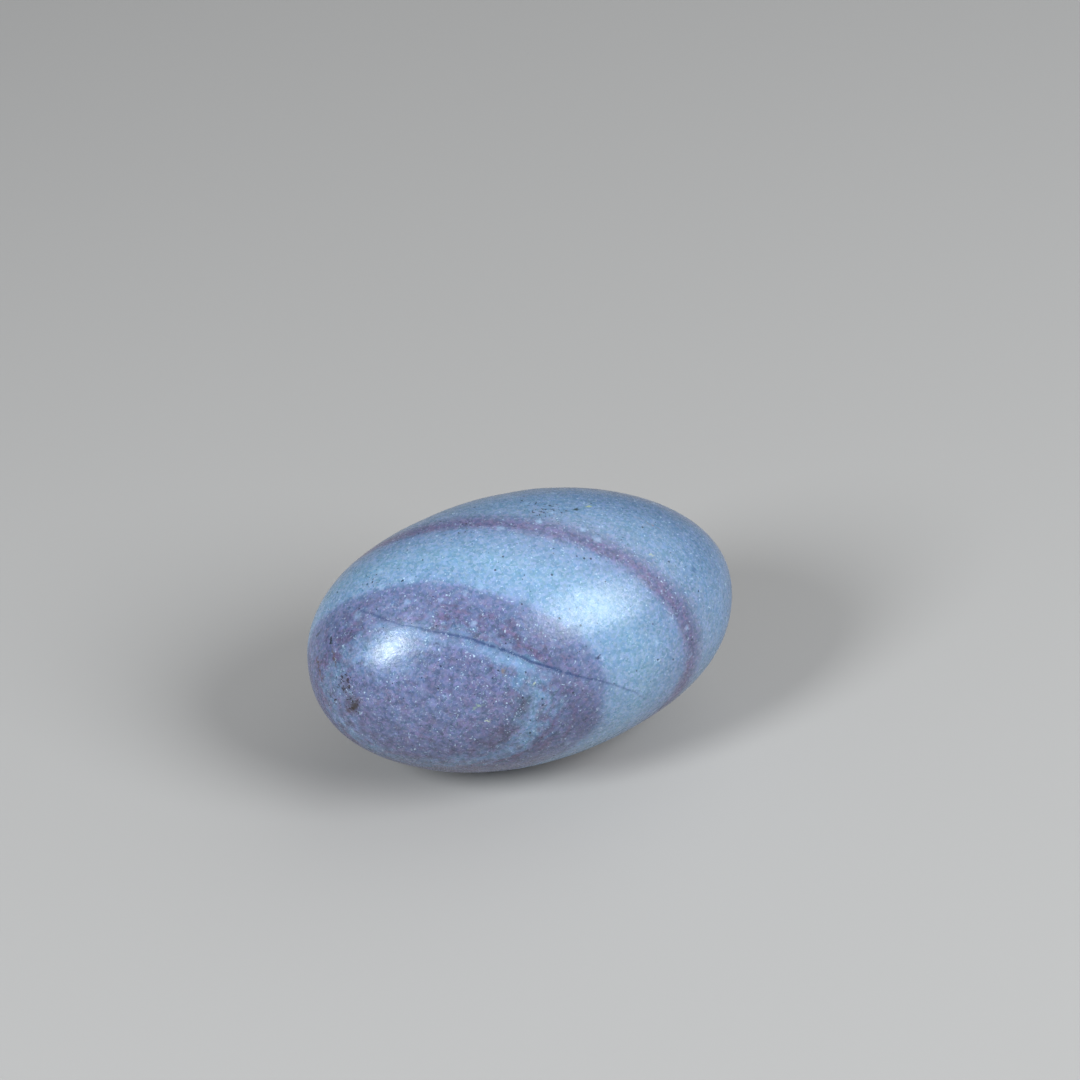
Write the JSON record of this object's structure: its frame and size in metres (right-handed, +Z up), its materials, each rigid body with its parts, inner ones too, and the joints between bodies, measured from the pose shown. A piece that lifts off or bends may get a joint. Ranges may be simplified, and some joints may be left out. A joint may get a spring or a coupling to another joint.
{
  "type": "shiva lingam stone",
  "caption": "Long egg-shaped, banded river stone with a satin polish, a slanting hairline fissure and a small worn flat to lie on.",
  "frame": {"origin": "centre of the base: the middle of the stone's length and width, at the level it rests on", "axes": "+X along the stone's length, toward its right end as the picture shows it; +Y away from the fissured front; +Z up, as it lies on its side"},
  "size_m": [0.0498, 0.0314, 0.0298],
  "materials": {
    "satin_stone": "satin"
  },
  "bodies": {
    "root": {"stone": "satin_stone"}
  },
  "joints": []
}
